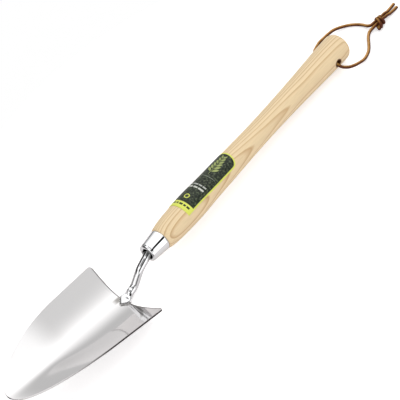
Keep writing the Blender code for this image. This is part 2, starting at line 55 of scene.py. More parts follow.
def new_object(name, data):
    """An object with the given data, in the scene."""
    item = bpy.data.objects.new(name, data)
    bpy.context.scene.collection.objects.link(item)
    return item


camera = new_object("camera", bpy.data.cameras.new("camera"))
camera.data.lens = 180.0
camera.data.sensor_width = 36.0
camera.location = (-0.75339, -0.73325, 1.45923)
camera.rotation_euler = [math.radians(angle) for angle in (36.2106, 5.1633, -53.5374)]
bpy.context.scene.camera = camera
bpy.context.scene.view_settings.view_transform = "Standard"
print("camera", tuple(camera.location))

# %% [markdown]
# ## A smooth course through measured points
# Lace, neck and handle outline are all given by a few measured points. A curve through them whose speed
# follows the root of each span doesn't overshoot where points lie close together, as plain splines do.

# %% Smooth course
SPAN_PARTS = 24


def smooth_course(points, step):
    """Points every step along a smooth curve through the given ones."""
    knots = [Vector(p) for p in points]
    ends = [2 * knots[0] - knots[1]] + knots + [2 * knots[-1] - knots[-2]]
    fine = []
    for before, start, end, after in zip(ends, ends[1:], ends[2:], ends[3:]):
        spans = [max((b - a).length, 1e-9) ** 0.5 for a, b in ((before, start), (start, end), (end, after))]
        middle = (end - start) / spans[1]
        leave = (start - before) / spans[0] - (end - before) / (spans[0] + spans[1]) + middle
        arrive = middle - (after - start) / (spans[1] + spans[2]) + (after - end) / spans[2]
        for k in range(SPAN_PARTS):
            t = k / SPAN_PARTS
            fine.append(
                (2 * t**3 - 3 * t**2 + 1) * start
                + (t**3 - 2 * t**2 + t) * leave * spans[1]
                + (3 * t**2 - 2 * t**3) * end
                + (t**3 - t**2) * arrive * spans[1]
            )
    fine.append(knots[-1])
    lengths = [0.0]
    for a, b in zip(fine, fine[1:]):
        lengths.append(lengths[-1] + (b - a).length)
    count = max(2, round(lengths[-1] / step))
    course, j = [], 0
    for k in range(count + 1):
        target = lengths[-1] * k / count
        while j < len(fine) - 2 and lengths[j + 1] < target:
            j += 1
        share = (target - lengths[j]) / max(lengths[j + 1] - lengths[j], 1e-9)
        course.append(fine[j].lerp(fine[j + 1], min(share, 1.0)))
    return course


# %% [markdown]
# ## The leather lace
# One round leather lace goes through the butt, and an overhand knot of both its ends closes the loop. It
# lies on the ground along a list of points. Each side of the loop is one curve with a round bevel, from the
# middle of the hole to the knot, so each has one length that can be measured.

# %% Lace: the two sides of the loop
LACE_RADIUS = 0.00155
LACE_STEP = 0.0009
HOLE = Vector((0.220644, 0.0, 0.014706))
HOLE_AXIS = Vector((0.005319, -0.994522, 0.104393))
KNOT = Matrix.Translation((HOLE.x + 0.0730, -0.0106, 0.0049)) @ Matrix.Rotation(math.radians(-7.3), 4, "Z")
KNOT_HALF_LENGTH = 0.0072
KNOT_LEAD = 0.0024
JOIN = 0.0003
STRAND_SPACING = 0.0034
# Through the hole: along X from its middle, reach toward its front mouth, drop below its axis
HOLE_ROUTE = (
    (-0.0006, 0.0144, 0.0021), (-0.0005, 0.0122, 0.0015), (-0.0001, 0.0070, 0.0006), (0.0, 0.0, 0.0003),
    (0.0002, -0.0070, 0.0004), (0.0008, -0.0122, 0.0008), (0.0013, -0.0145, 0.0009),
)
HOLE_MIDDLE = 3
# On the ground: along X from the hole, across Y, height
FRONT_ROUTE = (
    (0.0011, -0.0167, 0.0120), (0.0054, -0.0204, 0.0095), (0.0119, -0.0228, 0.0070),
    (0.0184, -0.0240, 0.0050), (0.0257, -0.0247, 0.0032), (0.0339, -0.0232, 0.0020),
    (0.0400, -0.0206, 0.0016), (0.0462, -0.0163, 0.0016), (0.0521, -0.0120, 0.0016),
    (0.0572, -0.0098, 0.0022),
)
BACK_ROUTE = (
    (0.0038, 0.0164, 0.0121), (0.0074, 0.0176, 0.0111), (0.0155, 0.0197, 0.0095), (0.0245, 0.0200, 0.0078),
    (0.0330, 0.0201, 0.0060), (0.0404, 0.0195, 0.0042), (0.0478, 0.0164, 0.0027), (0.0545, 0.0118, 0.0018),
    (0.0592, 0.0060, 0.0016), (0.0618, 0.0005, 0.0018), (0.0622, -0.0045, 0.0032),
)


def lace_curve(name, course):
    """One length of round lace along a course."""
    data = bpy.data.curves.new(name, "CURVE")
    data.dimensions = "3D"
    data.bevel_depth = 1.0
    data.bevel_resolution = 6
    data.use_fill_caps = True
    line = data.splines.new("POLY")
    line.points.add(len(course) - 1)
    for spot, point in zip(line.points, course):
        spot.co = (*point, 1.0)
        spot.radius = LACE_RADIUS
    line.use_smooth = True
    return new_object(name, data)


def loop_side(name, in_hole, on_ground, beside):
    """One side of the loop, from the middle of the hole to the knot."""
    route = [HOLE + Vector((x, 0.0, -drop)) + HOLE_AXIS * reach for x, reach, drop in in_hole]
    route += [Vector((HOLE.x + x, y, z)) for x, y, z in on_ground]
    route += [KNOT @ Vector((-KNOT_HALF_LENGTH - back, beside, 0.0)) for back in (KNOT_LEAD, JOIN)]
    course = smooth_course(route, LACE_STEP)
    length = sum((b - a).length for a, b in zip(course, course[1:]))
    print(name, "is", round(1000 * length, 1), "mm long")
    return lace_curve(name, course)


lace_front = loop_side("lace_front_side", HOLE_ROUTE[HOLE_MIDDLE::-1], FRONT_ROUTE, -0.5 * STRAND_SPACING)
lace_back = loop_side("lace_back_side", HOLE_ROUTE[HOLE_MIDDLE:], BACK_ROUTE, 0.5 * STRAND_SPACING)

# %% [markdown]
# ## The knot and its tails
# In an overhand knot of a doubled lace each strand shows once round the other one. It runs in along the
# middle, turns once round both, and comes out as a tail.

# %% Knot and tails
# Each strand's turn round the knot: its place, half width, sideways shift and lean at the front
FRONT_WRAP = (-0.0037, 0.0049, -0.0020, -0.0024)
BACK_WRAP = (0.0014, 0.0038, -0.0014, -0.0004)
WRAP_UP = 0.0032
WRAP_ADVANCE = 0.0030
WRAP_START = math.radians(-20.0)
WRAP_PARTS = 12
KNOT_STEP = 0.0005
KNOT_IN = ((-0.0030, 0.9, 0.0), (0.0010, 0.8, 0.0004))
KNOT_OUT = (0.0022, 0.8, -0.0003)
RIGHT_TAIL = ((0.0868, -0.0138, 0.0032), (0.0926, -0.0140, 0.0022), (0.0982, -0.0141, 0.0017))
LEFT_TAIL = ((0.0871, -0.0103, 0.0032), (0.0938, -0.0099, 0.0022), (0.1000, -0.0095, 0.0017))


def knot_strand(name, side):
    """One strand of the knot."""
    half = -0.5 * STRAND_SPACING * side
    place, across, shift, lean = FRONT_WRAP if side > 0 else BACK_WRAP
    path = [(-KNOT_HALF_LENGTH - JOIN, half, 0.0)] + [(x, share * half, z) for x, share, z in KNOT_IN]
    for k in range(WRAP_PARTS + 1):
        angle = (WRAP_START + 2.0 * math.pi * k / WRAP_PARTS) * side
        front = side * math.cos(angle)
        x = place + WRAP_ADVANCE * (0.5 - k / WRAP_PARTS) + lean * front
        path.append((x, shift - across * front, WRAP_UP * math.sin(angle)))
    path += [(KNOT_OUT[0], KNOT_OUT[1] * half, KNOT_OUT[2]), (KNOT_HALF_LENGTH + JOIN, half, 0.0)]
    return lace_curve(name, smooth_course([KNOT @ Vector(p) for p in path], KNOT_STEP))


def lace_tail(name, side, points):
    """The free end of a strand beyond the knot."""
    half = -0.5 * STRAND_SPACING * side
    route = [KNOT @ Vector((KNOT_HALF_LENGTH + out, half, 0.0)) for out in (JOIN, KNOT_LEAD)]
    route += [Vector((HOLE.x + x, y, z)) for x, y, z in points]
    return lace_curve(name, smooth_course(route, LACE_STEP))


knot_front = knot_strand("lace_knot_front_strand", 1)
knot_back = knot_strand("lace_knot_back_strand", -1)
tail_right = lace_tail("lace_right_tail", 1, RIGHT_TAIL)
tail_left = lace_tail("lace_left_tail", -1, LEFT_TAIL)
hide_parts("lace_loop")
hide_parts("lace_knot")
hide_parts("lace_tail_right")
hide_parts("lace_tail_left")
lace_pieces = (lace_front, lace_back, knot_front, knot_back, tail_right, tail_left)
for piece in lace_pieces:
    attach(piece, "lace")
print("lace pieces", [piece.name for piece in lace_pieces])

# %% [markdown]
# ## Where the tool lies
# The trowel lies open side up on the heel of its blade and on its butt. One frame is fixed to the rear edge
# of the blade and one to the handle's axis, so each piece is drawn in simple directions.

# %% Frames of blade and handle
TILT = math.radians(16.916827)
PITCH = math.radians(14.0)
SHEET = 0.0015
BLADE_PLACE = Matrix.Translation((-0.09366, 0.0, SHEET * math.cos(TILT))) @ Matrix.Rotation(TILT, 4, "Y")
MOUTH_X, MOUTH_Z = 0.0271, 0.0369
FERRULE_LENGTH = 0.0190
SHOULDER = (MOUTH_X + FERRULE_LENGTH * math.cos(PITCH), 0.0, MOUTH_Z + FERRULE_LENGTH * math.sin(PITCH))
HANDLE_PLACE = BLADE_PLACE @ Matrix.Translation(SHOULDER) @ Matrix.Rotation(-PITCH, 4, "Y")


def tool_piece(name, mesh, place, replaced, corner):
    """A piece drawn in its own frame, for a node of the model. Only corners past the angle stay sharp."""
    mesh.transform(place)
    piece = new_object(name, mesh)
    piece.data.shade_smooth()
    piece.data.set_sharp_from_angle(angle=math.radians(corner))
    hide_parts(replaced)
    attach(piece, "trowel")
    print(name, len(mesh.polygons), "faces")
    return piece


def finished_mesh(name, shape):
    """The mesh of a shape that is complete."""
    mesh = bpy.data.meshes.new(name)
    shape.to_mesh(mesh)
    shape.free()
    return mesh


print("wood begins at", [round(v, 4) for v in HANDLE_PLACE.translation])

# %% [markdown]
# ## The blade
# The blade is one steel sheet, pressed into a trough whose keel gets tighter toward the tip. A grid of
# points with one height formula gives a surface without dents, which polished steel would show. A sheet
# thickness and a small bevel round its cut edge finish it.

# %% Blade shape
BLADE_LENGTH = 0.156
BLADE_HALF_WIDTH = 0.0409
BLADE_TAPER = 0.235
BLADE_ROUND_FROM = 0.34
BLADE_ROUND_POWER = 2.32
BLADE_CORNER = 0.004
BLADE_RISE = 0.0173
BLADE_RISE_GAIN = 0.22
BLADE_BEND = 0.0274
KEEL_TIGHTER = 0.0224
CORNER_ROWS = (0.0, 0.012, 0.05, 0.12, 0.22, 0.36, 0.52, 0.74, 1.0)
LONG_ROWS = 76
COLUMNS = 64
EDGE_CROWDING = 0.43 * math.pi


def blade_half_width(place):
    """Half width of the blade at a share of its length."""
    width = BLADE_HALF_WIDTH * (1.0 - BLADE_TAPER * place)
    if place > BLADE_ROUND_FROM:
        rounding = ((place - BLADE_ROUND_FROM) / (1.0 - BLADE_ROUND_FROM)) ** BLADE_ROUND_POWER
        width *= math.sqrt(max(0.0, 1.0 - rounding))
    back = place * BLADE_LENGTH
    if back < BLADE_CORNER:
        width -= BLADE_CORNER - math.sqrt(BLADE_CORNER**2 - (BLADE_CORNER - back) ** 2)
    return width


def blade_rise(place, across):
    """Height of the blade's upper face above its keel."""
    half = blade_half_width(place)
    full = math.hypot(BLADE_BEND, BLADE_HALF_WIDTH) - BLADE_BEND
    edge = BLADE_RISE * (1.0 + BLADE_RISE_GAIN * place) * (math.hypot(BLADE_BEND, half) - BLADE_BEND) / full
    share = min(max((place - 0.30) / 0.40, 0.0), 1.0)
    keel = BLADE_BEND - KEEL_TIGHTER * share * share * (3.0 - 2.0 * share)
    return edge * (math.hypot(keel, across) - keel) / max(math.hypot(keel, half) - keel, 1e-9)


def blade_mesh():
    """The upper face of the blade, with close points at its corners and its tip."""
    places = [BLADE_CORNER / BLADE_LENGTH * share for share in CORNER_ROWS]
    rest = 1.0 - places[-1]
    places += [places[-1] + rest * math.sin(0.5 * math.pi * k / LONG_ROWS) for k in range(1, LONG_ROWS)]
    sheet = bmesh.new()
    rows = []
    for place in places:
        half = blade_half_width(place)
        row = []
        for k in range(COLUMNS + 1):
            across = half * math.sin(EDGE_CROWDING * (2.0 * k / COLUMNS - 1.0)) / math.sin(EDGE_CROWDING)
            row.append(sheet.verts.new((-place * BLADE_LENGTH, across, blade_rise(place, across))))
        rows.append(row)
    for near, far in zip(rows, rows[1:]):
        for k in range(COLUMNS):
            sheet.faces.new((near[k], near[k + 1], far[k + 1], far[k]))
    tip = sheet.verts.new((-BLADE_LENGTH, 0.0, 0.0))
    for k in range(COLUMNS):
        sheet.faces.new((rows[-1][k], rows[-1][k + 1], tip))
    return finished_mesh("blade_sheet", sheet)


blade = tool_piece("trowel_blade", blade_mesh(), BLADE_PLACE, "blade", 40.0)
thickness = blade.modifiers.new("sheet", "SOLIDIFY")
thickness.thickness = SHEET
thickness.offset = -1.0
thickness.use_even_offset = True
thickness.material_offset_rim = 1
rounded = blade.modifiers.new("cut_edge", "BEVEL")
rounded.width = 0.0005
rounded.material = 1
rounded.segments = 3
rounded.limit_method = "ANGLE"
rounded.angle_limit = math.radians(50.0)

# %% [markdown]
# ## The neck and its foot
# The neck is one round bar, bent like a swan's neck. Its lower end is beaten out into a foot that lies in
# the trough. A loft of closed rings along the bent line goes from a circle to a flat oval without a seam,
# as on the real tool. The foot is hammered flat on top, with rounded flanks.

# %% Neck and foot shape
BAR_RADIUS = 0.00375
NECK_BENDS = (
    (0.0299, 0.0371), (0.0275, 0.0351), (0.0252, 0.0325), (0.0218, 0.0291), (0.0182, 0.0249),
    (0.0157, 0.0193), (0.0136, 0.0137), (0.0122, 0.0106), (0.0099, 0.0080), (0.0065, 0.0061),
)
# Along X from the blade's rear edge, half width and half thickness
FOOT_NECK = ((0.0099, 0.0037, 0.0037), (0.0065, 0.0037, 0.0034))
FOOT = (
    (0.0042, 0.0040, 0.0029), (0.0020, 0.0047, 0.0023), (0.0004, 0.0050, 0.0017), (-0.0014, 0.0042, 0.0013),
    (-0.0034, 0.0029, 0.0011), (-0.0051, 0.0016, 0.0010), (-0.0064, 0.0005, 0.0009),
)
FOOT_TABLE = smooth_course([(-a, b, c) for a, b, c in FOOT_NECK + FOOT], 0.0002)
FOOT_PLACE = 0.05
FOOT_LIFT = 0.0003
FLATTEN_BELOW = 0.0075
FOOT_BLEND = 0.0060
TOP_ROUNDNESS = 0.55
RING_POINTS = 48


def loft_mesh(name, rings):
    """A closed skin over rings of points."""
    loft = bmesh.new()
    rings = [[loft.verts.new(point) for point in ring] for ring in rings]
    count = len(rings[0])
    for near, far in zip(rings, rings[1:]):
        for k in range(count):
            loft.faces.new((near[k], far[k], far[(k + 1) % count], near[(k + 1) % count]))
    loft.faces.new(rings[0])
    loft.faces.new(list(reversed(rings[-1])))
    bmesh.ops.recalc_face_normals(loft, faces=loft.faces)
    return finished_mesh(name, loft)


def direction_at(course, i):
    """Direction of a course at one of its points."""
    return (course[min(i + 1, len(course) - 1)] - course[max(i - 1, 0)]).normalized()


def neck_mesh():
    """Rings from inside the handle to the foot's tip."""
    along = Vector((math.cos(PITCH), 0.0, math.sin(PITCH)))
    mouth = Vector((MOUTH_X, 0.0, MOUTH_Z))
    line = [mouth + along * 0.012, mouth + along * 0.0054] + [Vector((x, 0.0, z)) for x, z in NECK_BENDS]
    line += [Vector((x, 0.0, FOOT_LIFT + thick)) for x, _, thick in FOOT]
    course = smooth_course(line, 0.0006)
    rings = []
    for i, centre in enumerate(course):
        wide = thick = BAR_RADIUS
        if centre.z < FLATTEN_BELOW:
            _, wide, thick = min(FOOT_TABLE, key=lambda p: abs(p.x + centre.x))
        up = Vector((0.0, 1.0, 0.0)).cross(direction_at(course, i)).normalized()
        flat = min(max((0.0050 - centre.x) / FOOT_BLEND, 0.0), 1.0)
        lying = min(max((0.0065 - centre.x) / FOOT_BLEND, 0.0), 1.0)
        ring = []
        for k in range(RING_POINTS):
            angle = 2.0 * math.pi * k / RING_POINTS
            across, height = wide * math.cos(angle), math.sin(angle)
            if height > 0.0:
                height += flat * (height**TOP_ROUNDNESS - height)
            point = centre + Vector((0.0, across, 0.0)) + up * (thick * height)
            point.z += lying * blade_rise(FOOT_PLACE, across)
            ring.append(point)
        rings.append(ring)
    return loft_mesh("neck_bar", rings)


neck = tool_piece("trowel_neck", neck_mesh(), BLADE_PLACE, "neck", 60.0)

# %% [markdown]
# ## The weld round the foot
# The foot is welded to the blade and the weld is dressed, so only a narrow soft fillet is left. Its section
# is a small hollow wedge, swept round the outline of the foot, with slight waves where the weld was laid.

# %% Weld shape
# Reach from the foot's outline and height over the blade
WELD_SECTION = (
    (-0.0006, 0.0001), (-0.0006, 0.00095), (0.0, 0.0008), (0.0004, 0.00045), (0.0009, 0.0002),
    (0.0013, 0.00005), (0.0006, 0.00003),
)
WELD_WAVE = 3.1


def weld_mesh():
    """A low fillet round the foot."""
    side = []
    for before, (x, wide, _), after in zip(FOOT, FOOT[1:], FOOT[2:]):
        lie = Vector((after[0] - before[0], after[1] - before[1])).normalized()
        side.append((x + lie.y * FOOT_LIFT, wide - lie.x * FOOT_LIFT))
    outline = [(x, -y) for x, y in side] + [(FOOT[-1][0] - 0.0004, 0.0)] + list(reversed(side))
    course = smooth_course([(x, y, 0.0) for x, y in outline], 0.0004)
    rings = []
    for i, spot in enumerate(course):
        forward = direction_at(course, i)
        out = Vector((forward.y, -forward.x, 0.0))
        uneven = 0.6 + 0.4 * noise.noise(spot * 900.0)
        wave = 1.0 + 0.16 * math.sin(2.0 * math.pi * i / WELD_WAVE) * uneven
        ends = min(1.0, 0.25 + 0.25 * min(i, len(course) - 1 - i))
        ring = []
        for reach, height in WELD_SECTION:
            point = spot + out * (reach * ends * wave)
            point.z = blade_rise(FOOT_PLACE, point.y) + height * ends * wave
            ring.append(point)
        rings.append(ring)
    return loft_mesh("weld_fillet", rings)


weld_fillet = tool_piece("trowel_weld", weld_mesh(), BLADE_PLACE, "weld_bead", 70.0)

# %% [markdown]
# ## The ferrule
# A tapered tube of polished steel clamps the wood round the tang. Its mouth is rolled inward, which leaves
# a dark hollow round the neck. Ferrule and handle are made in one way, as on a lathe: an outline of
# distance and radius is spun round the axis.

# %% Ferrule shape
FERRULE_WOOD_RADIUS = 0.0106
FERRULE_MOUTH_RADIUS = 0.0089
FERRULE_EDGE = 0.0008
LIP_ROLL = 0.0016
LIP_DEPTH = 0.0020
TURNED_STEPS = 96


def turned_mesh(name, outline, steps, closed):
    """An outline of (distance, radius) spun round the X axis."""
    lathe = bmesh.new()
    verts = [lathe.verts.new((x, 0.0, r)) for x, r in outline]
    edges = [lathe.edges.new(pair) for pair in zip(verts, verts[1:])]
    if closed:
        edges.append(lathe.edges.new((verts[-1], verts[0])))
    bmesh.ops.spin(
        lathe, geom=verts + edges, axis=(1.0, 0.0, 0.0), cent=(0.0, 0.0, 0.0),
        angle=2.0 * math.pi, steps=steps, use_merge=True,
    )
    bmesh.ops.remove_doubles(lathe, verts=lathe.verts, dist=0.00001)
    bmesh.ops.recalc_face_normals(lathe, faces=lathe.faces)
    return finished_mesh(name, lathe)


def ferrule_outline():
    """The tube's wall, a fine groove, the rolled lip and back inside."""
    roll_x, roll_r = -FERRULE_LENGTH + LIP_ROLL, FERRULE_MOUTH_RADIUS - LIP_DEPTH
    groove_x = roll_x + 0.0006
    outline = [(0.0, FERRULE_WOOD_RADIUS - 0.0002), (-0.0002, FERRULE_WOOD_RADIUS)]
    for k in range(13):
        x = -FERRULE_EDGE + (groove_x + FERRULE_EDGE) * k / 12
        outline.append((x, FERRULE_WOOD_RADIUS + (FERRULE_MOUTH_RADIUS - FERRULE_WOOD_RADIUS) * k / 12))
    outline.append((groove_x - 0.0003, FERRULE_MOUTH_RADIUS - 0.00035))
    for k in range(17):
        angle = math.pi * (0.5 + k / 16)
        outline.append((roll_x + LIP_ROLL * math.cos(angle), roll_r + LIP_DEPTH * math.sin(angle)))
    for k in range(9):
        angle = math.pi * (1.5 - k / 8)
        outline.append((roll_x + 0.0007 * math.cos(angle), roll_r + 0.0012 * math.sin(angle)))
    outline.append((0.0, FERRULE_WOOD_RADIUS - 0.001))
    return outline


ferrule_tube = turned_mesh("ferrule_tube", ferrule_outline(), TURNED_STEPS, True)
ferrule = tool_piece("trowel_ferrule", ferrule_tube, HANDLE_PLACE, "ferrule", 50.0)

# %% [markdown]
# ## The handle
# The handle is turned ash: thick above the ferrule, slim at the waist, thick again at the butt, with a
# rounded rim and a small flat end. The lace hole goes across the butt. A drill whose ends flare cuts it
# with a boolean, which eases both mouths.

# %% Handle shape
HANDLE_LENGTH = 0.2814
HANDLE_OUTLINE = (
    (0.0, 0.0107), (0.0066, 0.0121), (0.0154, 0.0130), (0.0374, 0.0138), (0.0494, 0.01375),
    (0.0694, 0.01295), (0.0984, 0.0123), (0.1334, 0.01145), (0.1614, 0.01125), (0.1934, 0.0117),
    (0.2184, 0.01235), (0.2434, 0.01325), (0.2654, 0.0139), (0.2752, 0.0139),
)
TURNED_ROWS = [(p.x, p.y) for p in smooth_course([(x, r, 0.0) for x, r in HANDLE_OUTLINE], 0.002)]
# The bore for the tang, the spigot in the ferrule and the shoulder that the ferrule meets
BORE_AND_SPIGOT = (
    (0.0484, 0.0), (0.0454, 0.0041), (-0.0136, 0.0041), (-0.0136, 0.0071), (-0.0130, 0.0077),
    (0.0003, 0.0093),
)
SHOULDER_GAP = 0.0003
BUTT_RIM = 0.0062
BUTT_FLAT = 0.0077
HOLE_X = HANDLE_LENGTH - 0.0224
HOLE_TURN = math.radians(84.0)
# Distance from the wood's surface and radius, at the flared end of the drill
DRILL_FLARE = ((-0.0009, 0.0035), (-0.0004, 0.0036), (0.0, 0.0039), (0.0005, 0.0045), (0.004, 0.0085))


def radius_at(distance):
    """Radius of the handle at a distance from the wood's shoulder."""
    for (a, ra), (b, rb) in zip(TURNED_ROWS, TURNED_ROWS[1:]):
        if a <= distance <= b:
            return ra + (rb - ra) * (distance - a) / (b - a)
    return TURNED_ROWS[-1][1]


def handle_outline():
    """Bore, spigot, long turned side, rounded rim and flat end."""
    outline = list(BORE_AND_SPIGOT) + [(max(x, SHOULDER_GAP), r) for x, r in TURNED_ROWS]
    for k in range(1, 15):
        angle = 0.5 * math.pi * k / 14
        rim_x = HANDLE_LENGTH - BUTT_RIM * (1 - math.sin(angle))
        outline.append((rim_x, BUTT_FLAT + BUTT_RIM * math.cos(angle)))
    outline += [(HANDLE_LENGTH, BUTT_FLAT * share) for share in (0.9, 0.5, 0.0)]
    return outline


def drill_object():
    """A drill for the lace hole, with flared ends."""
    surface = radius_at(HOLE_X)
    rows = [(surface + out, radius) for out, radius in DRILL_FLARE]
    outline = [(-x, r) for x, r in reversed(rows)] + rows
    outline = [(outline[0][0], 0.0)] + outline + [(outline[-1][0], 0.0)]
    item = new_object("lace_hole_drill", turned_mesh("lace_hole_drill", outline, 40, False))
    place = Matrix.Translation((HOLE_X, 0.0, 0.0)) @ Matrix.Rotation(HOLE_TURN, 4, "X")
    item.matrix_world = HANDLE_PLACE @ place @ Matrix.Rotation(math.radians(90.0), 4, "Y")
    return item


ash_handle = turned_mesh("ash_handle", handle_outline(), TURNED_STEPS, False)
handle = tool_piece("trowel_handle", ash_handle, HANDLE_PLACE, "handle", 42.0)
drill = drill_object()
cut = handle.modifiers.new("lace_hole", "BOOLEAN")
cut.operation = "DIFFERENCE"
cut.solver = "EXACT"
cut.object = drill
bpy.context.view_layer.update()
bored = bpy.data.meshes.new_from_object(handle.evaluated_get(bpy.context.evaluated_depsgraph_get()))
handle.modifiers.clear()
handle.data = bored
bpy.data.objects.remove(drill, do_unlink=True)
handle.data.shade_smooth()
handle.data.set_sharp_from_angle(angle=math.radians(42.0))
print("handle bored for the lace,", len(handle.data.polygons), "faces")

# %% [markdown]
# ## The label
# A printed film lies round the top of the handle, square at the ferrule and arched at its far end. It is a
# grid bent round the wood. One map holds the place across and along it in centimetres, and a second one the
# distance from its cut edge, so that a border can follow the arch.

# %% Label shape
LABEL_FROM = 0.0302
LABEL_LENGTH = 0.0750
LABEL_HALF_WIDTH = 0.0140
LABEL_ARCH = 0.0090
LABEL_ARCH_POWER = 2.4
LABEL_TURN = math.radians(12.0)
LABEL_LIFT = 0.00012
LABEL_COLUMNS = 40


def label_half_width(along):
    """Half width of the film at a distance from its square end."""
    left = LABEL_LENGTH - along
    if left >= LABEL_ARCH:
        return LABEL_HALF_WIDTH
    arch = (1.0 - max(left, 0.0) / LABEL_ARCH) ** LABEL_ARCH_POWER
    return LABEL_HALF_WIDTH * math.sqrt(max(1e-9, 1.0 - arch))


def edge_distance(along, across):
    """Distance in metres from the film's cut edge, also round the arch."""
    best = min(along, LABEL_HALF_WIDTH - abs(across))
    for k in range(60):
        spot = LABEL_LENGTH - LABEL_ARCH * (1.0 - math.sin(0.5 * math.pi * k / 59))
        best = min(best, math.hypot(along - spot, abs(across) - label_half_width(spot)))
    return max(best, 0.0)


def label_mesh():
    """The film, a grid bent round the wood."""
    alongs = [(LABEL_LENGTH - LABEL_ARCH) * k / 90 for k in range(91)]
    alongs += [LABEL_LENGTH - LABEL_ARCH * (1.0 - math.sin(0.5 * math.pi * k / 22)) for k in range(1, 22)]
    alongs.append(LABEL_LENGTH - LABEL_ARCH * 0.0005)
    film = bmesh.new()
    print_map = film.loops.layers.uv.new("print")
    edge_map = film.loops.layers.uv.new("edge")
    rows, spots = [], {}
    for along in alongs:
        radius = radius_at(LABEL_FROM + along)
        row = []
        for k in range(LABEL_COLUMNS + 1):
            across = label_half_width(along) * (2.0 * k / LABEL_COLUMNS - 1.0)
            turn = LABEL_TURN + across / radius
            out = radius + LABEL_LIFT
            vert = film.verts.new((LABEL_FROM + along, out * math.sin(turn), out * math.cos(turn)))
            spots[vert] = (100.0 * across, 100.0 * along, 100.0 * edge_distance(along, across))
            row.append(vert)
        rows.append(row)
    for near, far in zip(rows, rows[1:]):
        for k in range(LABEL_COLUMNS):
            face = film.faces.new((near[k], far[k], far[k + 1], near[k + 1]))
            for loop in face.loops:
                across, along, edge = spots[loop.vert]
                loop[print_map].uv = (across, along)
                loop[edge_map].uv = (edge, 0.0)
    return finished_mesh("label_film", film)


label = tool_piece("trowel_label", label_mesh(), HANDLE_PLACE, "label", 60.0)
film_body = label.modifiers.new("film", "SOLIDIFY")
film_body.thickness = 0.0002
film_body.offset = 1.0

# %% [markdown]
# ## Building node trees
# Materials and light are made of many small nodes. One helper adds each in a line, so the cells below read
# like formulas. Every value that goes in is a socket, a number or a colour.

# %% Helper for node trees


class Tree:
    """A node tree that is filled line by line."""

    def __init__(self, tree):
        self.nodes, self.links = tree.nodes, tree.links

    def put(self, socket, value):
        """Link a socket, or set its own value."""
        if isinstance(value, bpy.types.NodeSocket):
            self.links.new(value, socket)
        else:
            socket.default_value = (*value, 1.0) if socket.type == "RGBA" else value

    def fill(self, node, inputs):
        """Give inputs their values, as pairs of name or number and value."""
        for name, value in inputs:
            self.put(node.inputs[name], value)
        return node

    def add(self, kind, inputs=(), **settings):
        """A node with its settings and its inputs."""
        node = self.nodes.new("ShaderNode" + kind)
        for name, value in settings.items():
            setattr(node, name, value)
        return self.fill(node, inputs)

    def math(self, operation, *values):
        """A Math node."""
        return self.add("Math", enumerate(values), operation=operation).outputs[0]

    def times(self, first, *others):
        """The product of all values."""
        for value in others:
            first = self.math("MULTIPLY", first, value)
        return first

    def vector(self, operation, first, second):
        """A Vector Math node. A dot product or a distance gives a number, the others a vector."""
        node = self.add("VectorMath", enumerate((first, second)), operation=operation)
        return node.outputs["Value" if operation in ("DOT_PRODUCT", "DISTANCE") else "Vector"]

    def split(self, vector):
        """The three parts of a vector."""
        return self.add("SeparateXYZ", [(0, vector)]).outputs

    def noise(self, place, scale, detail):
        """A cloudy value round 0.5."""
        return self.add("TexNoise", [("Vector", place), ("Scale", scale), ("Detail", detail)]).outputs["Fac"]

    def step(self, value, start, end):
        """0 before start, 1 after end, smooth between."""
        limits = [("Value", value), ("From Min", start), ("From Max", end)]
        return self.add("MapRange", limits, interpolation_type="SMOOTHSTEP").outputs["Result"]

    def ramp(self, value, stops):
        """A colour for each value between the stops."""
        node = self.add("ValToRGB", [("Fac", value)])
        elements = node.color_ramp.elements
        while len(elements) < len(stops):
            elements.new(0.5)
        for element, (place, colour) in zip(elements, stops):
            element.position = place
            element.color = (*colour, 1.0)
        return node.outputs["Color"]

    def mix(self, share, first, second):
        """Two colours mixed by a share."""
        return self.add("Mix", [(0, share), (6, first), (7, second)], data_type="RGBA").outputs[2]

    def bump(self, height, strength, distance):
        """A normal bent by a height."""
        inputs = [("Strength", strength), ("Distance", distance), ("Height", height)]
        return self.add("Bump", inputs).outputs[0]

    def in_frame(self, place):
        """Coordinates in a piece's own frame."""
        where = self.add("TexCoord").outputs["Object"]
        inputs = [("Vector", where), ("Location", place.translation), ("Rotation", place.to_euler())]
        return self.add("Mapping", inputs, vector_type="TEXTURE").outputs["Vector"]


def new_material(name):
    """A material, its tree and its Principled shader."""
    material = bpy.data.materials.new(name)
    material.use_nodes = True
    return material, Tree(material.node_tree), material.node_tree.nodes["Principled BSDF"]


def new_group(name, inputs, outputs):
    """A node group, its tree, the sockets given to it and those that it gives back."""
    group = bpy.data.node_groups.new(name, "ShaderNodeTree")
    for in_out, sockets in (("INPUT", inputs), ("OUTPUT", outputs)):
        for socket_name in sockets:
            kind = "Vector" if socket_name == "Place" else "Float"
            group.interface.new_socket(socket_name, in_out=in_out, socket_type="NodeSocket" + kind)
    given, made = group.nodes.new("NodeGroupInput"), group.nodes.new("NodeGroupOutput")
    return group, Tree(group), given.outputs, made.inputs


# %% [markdown]
# ## The floor
# A pale floor carries the tool. To the camera it glows a little, so it is white without more light on the
# tool, and only the tool's shadow stays. Metal sees a small share of that glow.

